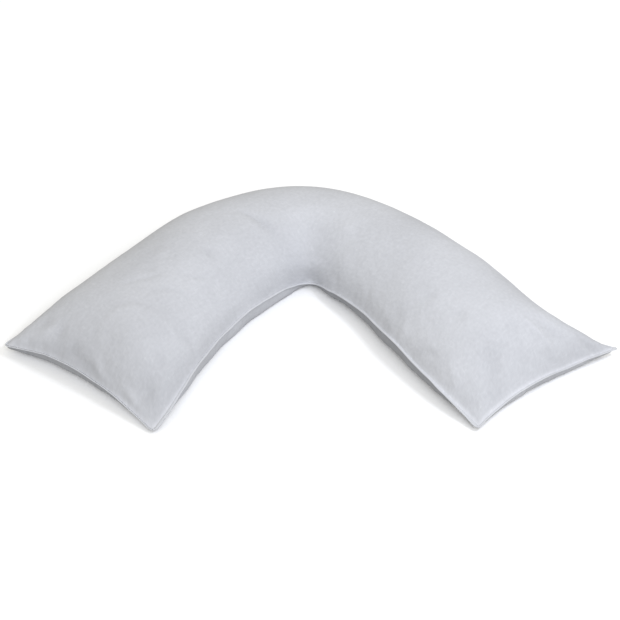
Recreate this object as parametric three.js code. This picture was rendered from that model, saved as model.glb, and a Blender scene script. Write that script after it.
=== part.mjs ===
// V shaped pillow: a plump bed pillow cut like a boomerang, lying on its back.
// Millimetres, +Z up. The apex points to +Y, the two arms come toward -Y, and the floor is at Z = 0.
// Two cotton panels of the same cut are sewn together all round and filled, so the pillow is one
// filled solid with a thin seam ridge where the panels meet. The origin is under the middle of its box.

import * as THREE from 'three';

// Sections across the pillow, from the left end round the apex to the right end.
// Inner and outer say where each side's seam runs and how high above the floor, and crown is the top.
const SECTIONS = [
  { innerX: -280, innerY: -320, innerSeam: 20, outerX: -568, outerY: -116, outerSeam: 22, crown: 92 },
  { innerX: -243, innerY: -266, innerSeam: 31, outerX: -478, outerY: -27, outerSeam: 30, crown: 128 },
  { innerX: -200, innerY: -180, innerSeam: 44, outerX: -380, outerY: 64, outerSeam: 42, crown: 142 },
  { innerX: -145, innerY: -88, innerSeam: 50, outerX: -275, outerY: 164, outerSeam: 50, crown: 146 },
  { innerX: -68, innerY: 6, innerSeam: 46, outerX: -150, outerY: 243, outerSeam: 52, crown: 142 },
  { innerX: 0, innerY: 57, innerSeam: 24, outerX: -10, outerY: 273, outerSeam: 54, crown: 136 },
  { innerX: 50, innerY: 10, innerSeam: 38, outerX: 125, outerY: 227, outerSeam: 52, crown: 142 },
  { innerX: 94, innerY: -43, innerSeam: 46, outerX: 256, outerY: 132, outerSeam: 50, crown: 146 },
  { innerX: 146, innerY: -120, innerSeam: 50, outerX: 356, outerY: 34, outerSeam: 42, crown: 142 },
  { innerX: 229, innerY: -236, innerSeam: 38, outerX: 466, outerY: -80, outerSeam: 30, crown: 128 },
  { innerX: 299, innerY: -314, innerSeam: 22, outerX: 564, outerY: -128, outerSeam: 24, crown: 92 },
];

// End seams: how far the filling draws each one in between its corners, and lifts it off the floor
const LEFT_END = { drawnIn: 14, rise: 27 };
const RIGHT_END = { drawnIn: 13, rise: 25 };
const DRAWN_IN_REACH = 220;
const RISE_REACH = 160;
const END_ARCH_POWER = 1.25;

// How the filling rounds the panels: the crown over the middle, its fall to the ends, and the flat base
const CROWN_SHARPNESS = 2.4;
const CROWN_FULLNESS = 0.5;
const END_CLOSURE = 150;
const BASE_SHARE = 0.62;

// Seam ridge, the turned edge that stands out all round between the two panels
const RIDGE_WIDTH = 4;
const RIDGE_THICKNESS = 2;
const SHARPEST_MITRE = 0.5;

// Soft lumps and troughs in the filling under the upper panel, as ovals turned by an angle in degrees
const LUMPS = [
  { name: 'round lump on the left arm', x: -352, y: -78, long: 70, short: 55, turn: 0, height: 5 },
  { name: 'hollow beyond that lump', x: -300, y: -20, long: 75, short: 28, turn: 130, height: -4 },
  { name: 'hollow by the left end', x: -425, y: -165, long: 60, short: 30, turn: 125, height: -4 },
  { name: 'swell along the left arm', x: -215, y: 70, long: 90, short: 55, turn: 45, height: 3 },
  { name: 'trough up from the inner corner', x: -38, y: 135, long: 75, short: 26, turn: 118, height: -5 },
  { name: 'swell right of the trough', x: 75, y: 130, long: 80, short: 45, turn: 100, height: 3 },
  { name: 'hollow on the right arm', x: 190, y: -10, long: 70, short: 32, turn: 30, height: -3 },
  { name: 'ridge to the right outer corner', x: 440, y: -105, long: 75, short: 24, turn: 140, height: 4 },
  { name: 'hollow by the right end', x: 372, y: -195, long: 60, short: 28, turn: 60, height: -4 },
];

// Fineness of the faceted solid, closer together near the ends and the seams
const STEPS_ALONG = 70;
const STEPS_ACROSS = 22;
const END_CROWDING = 0.65;

const PALE_COTTON = new THREE.MeshStandardMaterial({
  name: 'pale cotton',
  color: 0xd3d7de,
  roughness: 0.92,
  metalness: 0,
});

// A smooth curve through one column of the sections, at a place measured in rows
function alongSections(column, place) {
  const lastRow = SECTIONS.length - 1;
  const row = Math.min(Math.floor(place), lastRow - 1);
  const share = place - row;
  const here = SECTIONS[row][column];
  const next = SECTIONS[row + 1][column];
  const before = row > 0 ? SECTIONS[row - 1][column] : 2 * here - next;
  const after = row + 2 <= lastRow ? SECTIONS[row + 2][column] : 2 * next - here;
  const slope = (next - before) * share;
  const bend = (2 * before - 5 * here + 4 * next - after) * share ** 2;
  const twist = (3 * here - before - 3 * next + after) * share ** 3;
  return 0.5 * (2 * here + slope + bend + twist);
}

// How full the pillow is at a share of the way from its middle, 0, to a closed edge, 1
function fullness(share) {
  return Math.max(0, 1 - Math.abs(share) ** CROWN_SHARPNESS) ** CROWN_FULLNESS;
}

function mix(low, high, share) {
  return low + (high - low) * share;
}

// The two ends of each section, and its distance from both end seams along the middle of the pillow
function layOutSections() {
  const rows = [];
  for (let i = 0; i <= STEPS_ALONG; i += 1) {
    const even = i / STEPS_ALONG;
    const crowded = (1 - Math.cos(Math.PI * even)) / 2;
    const place = mix(even, crowded, END_CROWDING) * (SECTIONS.length - 1);
    const inner = new THREE.Vector3(
      alongSections('innerX', place),
      alongSections('innerY', place),
      alongSections('innerSeam', place),
    );
    const outer = new THREE.Vector3(
      alongSections('outerX', place),
      alongSections('outerY', place),
      alongSections('outerSeam', place),
    );
    rows.push({ inner, outer, crown: alongSections('crown', place), fromLeft: 0, fromRight: 0 });
  }
  const middleOf = (row) => row.inner.clone().add(row.outer).multiplyScalar(0.5).setZ(0);
  for (let i = 1; i <= STEPS_ALONG; i += 1) {
    rows[i].fromLeft = rows[i - 1].fromLeft + middleOf(rows[i]).distanceTo(middleOf(rows[i - 1]));
  }
  const wholeLength = rows[STEPS_ALONG].fromLeft;
  rows.forEach((row) => {
    row.fromRight = wholeLength - row.fromLeft;
  });
  return rows;
}

// The direction along the floor from an end seam into the pillow
function inwardFrom(end, neighbour) {
  const along = end.outer.clone().sub(end.inner).setZ(0);
  const inward = new THREE.Vector3(along.y, -along.x, 0).normalize();
  const toNeighbour = neighbour.inner.clone().sub(end.inner);
  return inward.dot(toNeighbour) > 0 ? inward : inward.negate();
}

function lumpHeight(x, y) {
  let height = 0;
  for (const lump of LUMPS) {
    const turn = THREE.MathUtils.degToRad(lump.turn);
    const dx = x - lump.x;
    const dy = y - lump.y;
    const along = (dx * Math.cos(turn) + dy * Math.sin(turn)) / lump.long;
    const aside = (dy * Math.cos(turn) - dx * Math.sin(turn)) / lump.short;
    height += lump.height * Math.exp(-(along ** 2) - aside ** 2);
  }
  return height;
}

// One point of the pillow: where its seam level lies, and the upper and lower panel there
function panelPoint(row, across, leftInward, rightInward) {
  const share = (1 + across) / 2;
  const level = row.inner.clone().lerp(row.outer, share);
  const arch = (1 - across ** 2) ** END_ARCH_POWER;
  const ends = [
    { end: LEFT_END, away: row.fromLeft, inward: leftInward },
    { end: RIGHT_END, away: row.fromRight, inward: rightInward },
  ];
  for (const { end, away, inward } of ends) {
    const drawn = Math.max(0, 1 - away / DRAWN_IN_REACH) ** 2;
    const lifted = Math.max(0, 1 - away / RISE_REACH) ** 2;
    level.addScaledVector(inward, end.drawnIn * drawn * arch);
    level.z += end.rise * lifted * arch;
  }
  const fromEnd = Math.min(row.fromLeft, row.fromRight, END_CLOSURE) / END_CLOSURE;
  const bulge = fullness(across) * fullness(1 - fromEnd);
  const lifted = (row.crown - level.z + lumpHeight(level.x, level.y)) * bulge;
  const lowered = Math.sin((Math.PI / 2) * Math.min(1, bulge / BASE_SHARE));
  const top = level.clone().setZ(level.z + lifted);
  const base = level.clone().setZ(level.z * (1 - lowered));
  return { top, base };
}

// Points of both panels, row by row, and the closed run of their shared border
function layOutPanels() {
  const rows = layOutSections();
  const leftInward = inwardFrom(rows[0], rows[1]);
  const rightInward = inwardFrom(rows[STEPS_ALONG], rows[STEPS_ALONG - 1]);
  const grid = rows.map((row) => {
    const points = [];
    for (let j = 0; j <= STEPS_ACROSS; j += 1) {
      const across = Math.sin(mix(-Math.PI / 2, Math.PI / 2, j / STEPS_ACROSS));
      points.push(panelPoint(row, across, leftInward, rightInward));
    }
    return points;
  });
  const border = [];
  for (let i = 0; i < STEPS_ALONG; i += 1) border.push([i, 0]);
  for (let j = 0; j < STEPS_ACROSS; j += 1) border.push([STEPS_ALONG, j]);
  for (let i = STEPS_ALONG; i > 0; i -= 1) border.push([i, STEPS_ACROSS]);
  for (let j = STEPS_ACROSS; j > 0; j -= 1) border.push([0, j]);
  return { grid, border };
}

// The way out of the border in the floor's plane, longer where the border turns a corner
function outwardSteps(points) {
  const count = points.length;
  const sideOf = (from, to) => {
    const run = to.clone().sub(from).setZ(0).normalize();
    return new THREE.Vector3(run.y, -run.x, 0);
  };
  return points.map((point, k) => {
    const before = sideOf(points[(k + count - 1) % count], point);
    const after = sideOf(point, points[(k + 1) % count]);
    const middle = before.add(after).normalize();
    return middle.multiplyScalar(1 / Math.max(middle.dot(after), SHARPEST_MITRE));
  });
}

function buildPillow() {
  const { grid, border } = layOutPanels();
  const points = [];
  const faces = [];
  const addPoint = (point) => points.push(point) - 1;
  const addQuad = (a, b, c, d) => faces.push(a, b, c, a, c, d);

  const halfRidge = RIDGE_THICKNESS / 2;
  const lift = new THREE.Vector3(0, 0, halfRidge);
  const top = grid.map((row) => row.map(({ top: point }) => addPoint(point.clone().add(lift))));
  const base = grid.map((row) => row.map(({ base: point }) => {
    const lowered = point.clone().sub(lift);
    return addPoint(lowered.setZ(Math.max(0, lowered.z)));
  }));
  for (let i = 0; i < STEPS_ALONG; i += 1) {
    for (let j = 0; j < STEPS_ACROSS; j += 1) {
      addQuad(top[i][j], top[i + 1][j], top[i + 1][j + 1], top[i][j + 1]);
      addQuad(base[i][j], base[i][j + 1], base[i + 1][j + 1], base[i + 1][j]);
    }
  }

  const seam = border.map(([i, j]) => grid[i][j].top);
  const steps = outwardSteps(seam);
  const edge = seam.map((point, k) => point.clone().addScaledVector(steps[k], RIDGE_WIDTH));
  const topEdge = edge.map((point) => addPoint(point.clone().add(lift)));
  const baseEdge = edge.map((point) => addPoint(point.clone().sub(lift)));
  border.forEach(([i, j], k) => {
    const following = (k + 1) % border.length;
    const [iNext, jNext] = border[following];
    addQuad(top[i][j], topEdge[k], topEdge[following], top[iNext][jNext]);
    addQuad(topEdge[k], baseEdge[k], baseEdge[following], topEdge[following]);
    addQuad(baseEdge[k], base[i][j], base[iNext][jNext], baseEdge[following]);
  });

  const geometry = new THREE.BufferGeometry();
  geometry.setAttribute('position', new THREE.Float32BufferAttribute(points.flatMap((p) => [p.x, p.y, p.z]), 3));
  geometry.setIndex(faces);
  geometry.computeBoundingBox();
  const middle = geometry.boundingBox.getCenter(new THREE.Vector3());
  geometry.translate(-middle.x, -middle.y, 0);
  geometry.computeVertexNormals();
  return geometry;
}

const pillow = new THREE.Mesh(buildPillow(), PALE_COTTON);
pillow.name = 'pillow';

const group = new THREE.Group();
group.add(pillow);

export default group;
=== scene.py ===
import math

import bpy
import numpy as np
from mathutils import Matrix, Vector


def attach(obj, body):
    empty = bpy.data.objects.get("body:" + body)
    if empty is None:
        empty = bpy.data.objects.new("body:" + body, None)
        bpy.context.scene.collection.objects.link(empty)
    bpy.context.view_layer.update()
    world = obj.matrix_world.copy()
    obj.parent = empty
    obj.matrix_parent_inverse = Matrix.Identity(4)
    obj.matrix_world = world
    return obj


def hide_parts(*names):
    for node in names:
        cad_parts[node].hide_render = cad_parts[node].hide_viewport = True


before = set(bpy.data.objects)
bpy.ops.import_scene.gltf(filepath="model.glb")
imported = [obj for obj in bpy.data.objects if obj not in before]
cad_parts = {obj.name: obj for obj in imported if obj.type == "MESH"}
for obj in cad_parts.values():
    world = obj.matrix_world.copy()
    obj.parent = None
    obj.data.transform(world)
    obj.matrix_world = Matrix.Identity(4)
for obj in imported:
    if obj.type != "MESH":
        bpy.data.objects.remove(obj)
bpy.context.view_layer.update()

# The filled shape of the pillow: two cotton panels of one boomerang cut, sewn together all round and filled
# with soft fibre. Each row is a section across it, from the left end round the apex to the right end, with
# where the inner and the outer seam run, how high they lie, and how high the filling crowns the panels.
MM = 0.001
SECTIONS = MM * np.array([
    # inner x, inner y, inner seam, outer x, outer y, outer seam, crown
    (-278, -289, 5, -573, -89, 19, 92),
    (-243, -235, 26, -472, 0, 31, 127),
    (-202, -156, 44, -373, 93, 42, 142),
    (-142, -55, 44, -266, 195, 51, 147),
    (-61, 34, 40, -141, 266, 54, 142),
    (0, 84, 16, -7, 294, 53, 137),
    (44, 44, 32, 120, 253, 52, 142),
    (100, -19, 42, 259, 154, 48, 146),
    (153, -101, 49, 363, 53, 42, 142),
    (228, -202, 37, 459, -53, 27, 127),
    (302, -283, 8, 571, -97, 19, 92),
], dtype=float)
# Both end seams bow in and up between their corners. A skew moves the bow along, and a power rounds it.
ENDS = {
    "left": {
        "drawn in": 18 * MM, "in skew": 1.12, "in power": 0.98,
        "rise": 26 * MM, "up skew": 1.12, "up power": 1.0,
    },
    "right": {
        "drawn in": 13 * MM, "in skew": 0.88, "in power": 1.06,
        "rise": 17 * MM, "up skew": 0.66, "up power": 1.5,
    },
}
DRAWN_IN_REACH = 220 * MM
RISE_REACH = 160 * MM
CROWN_SHARPNESS = 2.4
CROWN_FULLNESS = 0.5
SLOPE_SHARPNESS = 2.0
SLOPE_FULLNESS = 0.8
SLOPED_LEFT_END = 1.0
SLOPED_RIGHT_END = 0.3
SLOPE_CHANGE = (0.4, 0.6)  # shares of the whole run, between which the left slope turns into the right one
SLOPED_MIDDLE = 0.5
SLOPED_ASIDE = 0.6
END_CLOSURE = 150 * MM
BASE_EVENNESS = 1.45
BASE_SHARE = 0.46
FINE_STEPS = (60, 250, 110)  # along either end, along the middle, across
APEX_ROW = 5  # in rows of SECTIONS
MEASURED_PLACES = 4001


def smooth_through(values, place):
    """A smooth curve through rows of values, at places measured in rows."""
    last = len(values) - 1
    extended = np.concatenate([[2 * values[0] - values[1]], values, [2 * values[-1] - values[-2]]])
    row = np.clip(place.astype(int), 0, last - 1)
    share = (place - row).reshape((-1,) + (1,) * (values.ndim - 1))
    before, here, following, after = (extended[row + k] for k in range(4))
    slope = (following - before) * share
    bend = (2 * before - 5 * here + 4 * following - after) * share ** 2
    twist = (3 * here - before - 3 * following + after) * share ** 3
    return 0.5 * (2 * here + slope + bend + twist)


def fullness(share, sharpness=CROWN_SHARPNESS, power=CROWN_FULLNESS):
    """How full the pillow is from its middle, 0, to a closed edge, 1."""
    return np.maximum(0, 1 - np.abs(share) ** sharpness) ** power


def bow(share, skew, power):
    """How far along its bow an end seam is, at its share of the way from the inner to the outer corner."""
    skewed = share ** skew
    return np.maximum(0, 4 * skewed * (1 - skewed)) ** power


def middle_run(place):
    """Distance along the middle of the pillow from its left end to each place."""
    sections = smooth_through(SECTIONS, place)
    middle = (sections[:, 0:2] + sections[:, 3:5]) / 2
    return np.concatenate([[0], np.cumsum(np.linalg.norm(np.diff(middle, axis=0), axis=1))])


FINE_PLACES = np.linspace(0, len(SECTIONS) - 1, MEASURED_PLACES)
FINE_RUN = middle_run(FINE_PLACES)
WHOLE_RUN = FINE_RUN[-1]


def rows_along(end_steps, middle_steps):
    """Places of the rows, closer together where the ends close, as rows of SECTIONS."""
    closing = END_CLOSURE * (1 - np.cos(np.linspace(0, math.pi / 2, end_steps + 1)))
    middle = np.linspace(END_CLOSURE, WHOLE_RUN - END_CLOSURE, middle_steps + 1)[1:-1]
    run = np.concatenate([closing, middle, WHOLE_RUN - closing[::-1]])
    return np.interp(run, FINE_RUN, FINE_PLACES), run


def filled_shape(end_steps, middle_steps, steps_across):
    """Both panels as grids of points, row by row and from the inner to the outer seam."""
    place, run = rows_along(end_steps, middle_steps)
    across = np.sin(np.linspace(-math.pi / 2, math.pi / 2, steps_across + 1))
    sections = smooth_through(SECTIONS, place)
    inner, outer, crown = sections[:, 0:3], sections[:, 3:6], sections[:, 6:7]
    share = (1 + across) / 2
    level = inner[:, None, :] * (1 - share[None, :, None]) + outer[:, None, :] * share[None, :, None]
    for end, away, corner, turn in (("left", run, 0, 1), ("right", WHOLE_RUN - run, -1, -1)):
        along = outer[corner, :2] - inner[corner, :2]
        inward = turn * np.array([along[1], -along[0]]) / np.linalg.norm(along)
        drawn = ENDS[end]["drawn in"] * np.maximum(0, 1 - away / DRAWN_IN_REACH) ** 2
        lifted = ENDS[end]["rise"] * np.maximum(0, 1 - away / RISE_REACH) ** 2
        bowed_in = bow(share, ENDS[end]["in skew"], ENDS[end]["in power"])
        bowed_up = bow(share, ENDS[end]["up skew"], ENDS[end]["up power"])
        level[:, :, :2] += (drawn[:, None] * bowed_in)[:, :, None] * inward
        level[:, :, 2] += lifted[:, None] * bowed_up
    from_end = np.minimum(np.minimum(run, WHOLE_RUN - run), END_CLOSURE) / END_CLOSURE
    along_full = fullness(1 - from_end)[:, None]
    across_full = fullness(across)[None, :]
    across_sloped = fullness(across, SLOPE_SHARPNESS, SLOPE_FULLNESS)
    across_sloped = np.where(across < 0, across_sloped, fullness(across))[None, :]
    end_sloped = np.interp(run / WHOLE_RUN, SLOPE_CHANGE, (SLOPED_LEFT_END, SLOPED_RIGHT_END))
    end_share = end_sloped[:, None] * np.clip(SLOPED_MIDDLE - SLOPED_ASIDE * across, 0, 1)[None, :]
    along_sloped = fullness(1 - from_end, SLOPE_SHARPNESS, SLOPE_FULLNESS)[:, None]
    bulge = (along_full * (1 - end_share) + along_sloped * end_share) * across_sloped
    tiny = 1e-6
    along_part = np.maximum(along_full, tiny) ** -BASE_EVENNESS
    across_part = np.maximum(across_full, tiny) ** -BASE_EVENNESS
    rest = (along_part + across_part - 1) ** (-1 / BASE_EVENNESS)
    upper, lower = level.copy(), level.copy()
    rise = (crown - level[:, :, 2]) * bulge
    upper[:, :, 2] += rise
    lower[:, :, 2] *= 1 - np.sin(math.pi / 2 * np.minimum(1, rest / BASE_SHARE))
    return upper, lower, place, across, bulge, rise


upper, lower, place, across, bulge, rise = filled_shape(*FINE_STEPS)
rows, columns = bulge.shape

# The seam as it is sewn: its corners are turned round rather than sharp, and the turned edge stands out
# wider along the inner side, most of all beside the lower corners, where the cloth is folded flat.
CORNER_ROUNDS = MM * np.array([12, 7, 8, 14])  # left inner, right inner, right outer, left outer
CORNER_REACH = 45 * MM
SHARPEST_MITRE = 0.5
EDGE_WIDTH = 3.4 * MM
INNER_EDGE_EXTRA = 0.5 * MM
CORNER_EDGE_EXTRA = 2.6 * MM
CORNER_EDGE_RUN = 120 * MM
EDGE_EVENING = 31  # seam points over which the edge's width is evened out
FLAT_INNER = 4 * MM
FLAT_CORNER_EXTRA = 14 * MM
FLAT_CORNER_RUN = 170 * MM
FLAT_OUTER = 4 * MM
FLAT_LEFT_END = 7 * MM
FLAT_RIGHT_END = 15 * MM
APEX_REACH = 1.2  # in rows of SECTIONS
APEX_FREE = 30 * MM
APEX_SMOOTHINGS = 260
OUTER_START = rows + columns - 2  # the seam's points are counted along the inner side, right end, outer side
LEFT_START = 2 * rows + columns - 3  # and left end


def border_of(grid):
    """The seam: the points round a grid, along the inner side first, as one closed run."""
    return np.concatenate([grid[:-1, 0], grid[-1, :-1], grid[:0:-1, -1], grid[0, :0:-1]])


def sides_of(seam):
    """Splits values round the seam into the inner side, right end, outer side and left end."""
    closed = np.concatenate([seam, seam[:1]])
    cuts = np.cumsum([0, rows - 1, columns - 1, rows - 1, columns - 1])
    inner, right, outer, left = (closed[a:b + 1] for a, b in zip(cuts[:-1], cuts[1:]))
    return inner, right, outer[::-1], left[::-1]


def runs_of(points):
    """Distance along a run of points, from its first."""
    return np.concatenate([[0], np.cumsum(np.linalg.norm(np.diff(points, axis=0), axis=1))])


def ways_out(seam):
    """The way out of the seam along the floor, longer where the seam turns a corner."""
    run = np.roll(seam, -1, 0)[:, :2] - seam[:, :2]
    run /= np.linalg.norm(run, axis=1, keepdims=True)
    after = np.stack([run[:, 1], -run[:, 0]], 1)
    middle = after + np.roll(after, 1, 0)
    middle /= np.linalg.norm(middle, axis=1, keepdims=True)
    stretch = 1 / np.maximum((middle * after).sum(1, keepdims=True), SHARPEST_MITRE)
    return np.concatenate([middle * stretch, np.zeros((len(seam), 1))], 1)


def gaps_to_sides(grid):
    """Distance of each point of a panel from the inner side, the outer side, the left and the right end."""
    across_steps = np.cumsum(np.linalg.norm(np.diff(grid, axis=1), axis=2), 1)
    along_steps = np.cumsum(np.linalg.norm(np.diff(grid, axis=0), axis=2), 0)
    from_inner = np.concatenate([np.zeros((rows, 1)), across_steps], 1)
    from_left = np.concatenate([np.zeros((1, columns)), along_steps], 0)
    return from_inner, from_inner[:, -1:] - from_inner, from_left, from_left[-1:] - from_left


def spread_from_seam(moves, reach):
    """Moves given round the seam, spread over a panel and fading out within a reach."""
    inner, right, outer, left = sides_of(moves)
    shares = [np.maximum(0, 1 - gap / reach)[:, :, None] ** 2 for gap in gaps_to_sides(upper)]
    by_inner, by_outer, by_left, by_right = shares
    spread = by_inner * inner[:, None] + by_outer * outer[:, None]
    spread = spread + by_left * left[None] + by_right * right[None]
    spread = spread - by_inner * by_left * left[0] - by_outer * by_left * left[-1]
    return spread - by_inner * by_right * right[0] - by_outer * by_right * right[-1]


def rounded(seam):
    """The seam with its four corners turned round."""
    turned = seam.copy()
    corners = np.cumsum([0, rows - 1, columns - 1, rows - 1])
    count = len(seam)
    for corner, corner_round in zip(corners, CORNER_ROUNDS):
        order = (corner + np.arange(-count // 2, count // 2)) % count
        run = runs_of(seam[order])
        run -= run[count // 2]
        before, after = (
            np.array([np.interp(reach, run, seam[order, axis]) for axis in range(3)])
            for reach in (-corner_round, corner_round)
        )
        near = np.abs(run) < corner_round
        share = (0.5 + 0.5 * run[near] / corner_round)[:, None]
        curve = (1 - share) ** 2 * before + 2 * share * (1 - share) * seam[corner] + share ** 2 * after
        turned[order[near]] = curve
    return turned


def edge_widths(seam):
    """How far the turned edge stands out, round the seam."""
    inner_run = runs_of(seam[:rows])
    to_corner = np.minimum(inner_run, inner_run[-1] - inner_run)
    width = np.full(len(seam), EDGE_WIDTH)
    width[:rows] += INNER_EDGE_EXTRA + CORNER_EDGE_EXTRA * np.maximum(0, 1 - to_corner / CORNER_EDGE_RUN)
    kernel = np.hanning(EDGE_EVENING) / np.hanning(EDGE_EVENING).sum()
    lap = EDGE_EVENING // 2
    padded = np.concatenate([width[-lap:], width, width[:lap]])
    return np.convolve(padded, kernel, "valid")


def kept_rise(grid):
    """How much of its rise the upper panel keeps near the seam, where the sewing presses it flat."""
    from_inner, from_outer, from_left, from_right = gaps_to_sides(grid * (1, 1, 0))
    inner_run = runs_of(grid[:, 0])
    to_corner = np.minimum(inner_run, inner_run[-1] - inner_run)
    inner_flat = FLAT_INNER + FLAT_CORNER_EXTRA * np.maximum(0, 1 - to_corner / FLAT_CORNER_RUN)
    kept = np.ones(grid.shape[:2])
    for gap, flat in ((from_inner, inner_flat[:, None]), (from_outer, FLAT_OUTER),
                      (from_left, FLAT_LEFT_END), (from_right, FLAT_RIGHT_END)):
        kept *= 1 - np.exp(-gap / flat)
    return kept


def eased_apex(grid):
    """The upper panel with its fold between the two arms drawn smooth, and its seam left where it is."""
    from_inner, from_outer, _, _ = gaps_to_sides(grid)
    near = np.exp(-((place - APEX_ROW) / APEX_REACH) ** 2)[:, None]
    free = 1 - np.exp(-(np.minimum(from_inner, from_outer) / APEX_FREE) ** 2)
    share = (near * free)[:, :, None]
    eased = grid.copy()
    for _ in range(APEX_SMOOTHINGS):
        middle = (eased[:-2] + 2 * eased[1:-1] + eased[2:]) / 4
        eased[1:-1] += share[1:-1] * (middle - eased[1:-1])
    return eased


upper[:, :, 2] -= rise * (1 - kept_rise(upper))
upper = eased_apex(upper)
sharp_seam = border_of(upper)
edge_width = edge_widths(sharp_seam)
true_seam = rounded(sharp_seam)
drawn_seam = true_seam - ways_out(true_seam) * (edge_width - EDGE_WIDTH)[:, None]
seam_move = spread_from_seam(drawn_seam - sharp_seam, CORNER_REACH)
upper += seam_move
lower[:, :, :2] += seam_move[:, :, :2]
for panel_side in (np.s_[:, 0], np.s_[:, -1], np.s_[0], np.s_[-1]):
    lower[panel_side] = upper[panel_side]

# How the cloth settles on its filling: a coarser copy of both panels is blown up a little as cloth that is
# sewn at the seam and held flat where it lies. It is cut a touch too large near the seams, as a turned
# pillow is, so it ripples there. Only the ripples are kept, and they are spread over the fine panels.
CLOTH_GROWTH = 0.03
CLOTH_GROWTH_REACH = 70 * MM
CLOTH_FRAMES = 22
RIPPLE_SMOOTHINGS = 12
RIPPLE_SHARE = 0.2
RIPPLE_CAP = 2.5 * MM
ROUGH_STEPS = (26, 110, 44)  # as FINE_STEPS
HELD_HEIGHT = 0.5 * MM  # cloth lower than this lies on the floor
SEAM_STEP = 3  # every third seam point is near enough to measure from


def quads(number):
    """The four-sided faces between the numbered points of a grid."""
    corners = (number[:-1, :-1], number[1:, :-1], number[1:, 1:], number[:-1, 1:])
    return np.stack([corner.ravel() for corner in corners], 1)


def sewn_mesh(upper_grid, lower_grid, name):
    """One closed mesh from two grids that share their border, with the number of each grid point."""
    along, aside = upper_grid.shape[:2]
    upper_number = np.arange(along * aside).reshape(along, aside)
    lower_number = upper_number.copy()
    inside = np.arange((along - 2) * (aside - 2)).reshape(along - 2, aside - 2)
    lower_number[1:-1, 1:-1] = along * aside + inside
    points = np.concatenate([upper_grid.reshape(-1, 3), lower_grid[1:-1, 1:-1].reshape(-1, 3)])
    faces = np.concatenate([quads(upper_number), quads(lower_number)[:, ::-1]])
    mesh = bpy.data.meshes.new(name)
    mesh.from_pydata(points.tolist(), [], faces.tolist())
    mesh.update()
    return mesh, upper_number, lower_number


def settle_cloth():
    """How far the simulated cloth moves each point of a coarse pair of panels."""
    rough_upper, rough_lower, rough_place, rough_across, _, _ = filled_shape(*ROUGH_STEPS)
    mesh, upper_number, lower_number = sewn_mesh(rough_upper, rough_lower, "settling_cloth")
    cloth_object = bpy.data.objects.new("settling_cloth", mesh)
    bpy.context.scene.collection.objects.link(cloth_object)
    still = np.empty(len(mesh.vertices) * 3)
    mesh.vertices.foreach_get("co", still)
    still = still.reshape(-1, 3)

    held = np.zeros(len(still), dtype=bool)
    held[border_of(upper_number[:, :, None]).ravel()] = True
    lying = lower_number[rough_lower[:, :, 2] < HELD_HEIGHT]
    held[lying] = True
    pins = cloth_object.vertex_groups.new(name="sewn_and_lying")
    pins.add(np.flatnonzero(held).tolist(), 1.0, "REPLACE")

    seam = still[border_of(upper_number[:, :, None]).ravel()]
    gap = np.full(len(still), np.inf)
    for point in seam[::SEAM_STEP]:
        gap = np.minimum(gap, np.linalg.norm(still - point, axis=1))
    tight = cloth_object.vertex_groups.new(name="cut_true")
    for number, weight in enumerate(np.clip(gap / CLOTH_GROWTH_REACH, 0, 1).tolist()):
        tight.add([number], weight, "REPLACE")

    modifier = cloth_object.modifiers.new("Cloth", "CLOTH")
    cloth = modifier.settings
    cloth.quality = 6
    cloth.mass = 0.2
    cloth.tension_stiffness = 40
    cloth.compression_stiffness = 30
    cloth.shear_stiffness = 12
    cloth.bending_stiffness = 0.4
    cloth.air_damping = 4
    cloth.use_pressure = True
    cloth.uniform_pressure_force = 3
    cloth.vertex_group_mass = "sewn_and_lying"
    cloth.pin_stiffness = 50
    cloth.shrink_min = -CLOTH_GROWTH
    cloth.shrink_max = 0
    cloth.vertex_group_shrink = "cut_true"
    cloth.effector_weights.gravity = 0
    modifier.collision_settings.use_collision = False
    modifier.point_cache.frame_start = 1
    modifier.point_cache.frame_end = CLOTH_FRAMES
    for step in range(1, CLOTH_FRAMES + 1):
        bpy.context.scene.frame_set(step)
    settled = cloth_object.evaluated_get(bpy.context.evaluated_depsgraph_get()).to_mesh()
    moved = np.empty(len(still) * 3)
    settled.vertices.foreach_get("co", moved)
    move = moved.reshape(-1, 3) - still
    bpy.data.objects.remove(cloth_object)
    bpy.data.meshes.remove(mesh)
    bpy.context.scene.frame_set(1)

    return ripples_of(move[upper_number]), ripples_of(move[lower_number]), rough_place, rough_across


def ripples_of(move):
    """The short ripples in the moves of a panel, without its broad swelling, which the sections hold."""
    swelling = move.copy()
    for _ in range(RIPPLE_SMOOTHINGS):
        swelling[1:-1] = (swelling[:-2] + 2 * swelling[1:-1] + swelling[2:]) / 4
        swelling[:, 1:-1] = (swelling[:, :-2] + 2 * swelling[:, 1:-1] + swelling[:, 2:]) / 4
    ripple_move = RIPPLE_SHARE * (move - swelling)
    length = np.linalg.norm(ripple_move, axis=2, keepdims=True)
    return ripple_move * np.minimum(1, RIPPLE_CAP / np.maximum(length, 1e-9))


def spread_moves(moves, rough_place, rough_across):
    """The coarse cloth's moves at every point of the fine panels."""
    row = np.interp(place, rough_place, np.arange(len(rough_place)))
    column = np.interp(across, rough_across, np.arange(len(rough_across)))
    along = smooth_through(moves, row)
    return smooth_through(along.swapaxes(0, 1), column).swapaxes(0, 1)


upper_moves, lower_moves, rough_place, rough_across = settle_cloth()
upper += spread_moves(upper_moves, rough_place, rough_across)
lower += spread_moves(lower_moves, rough_place, rough_across)

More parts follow.
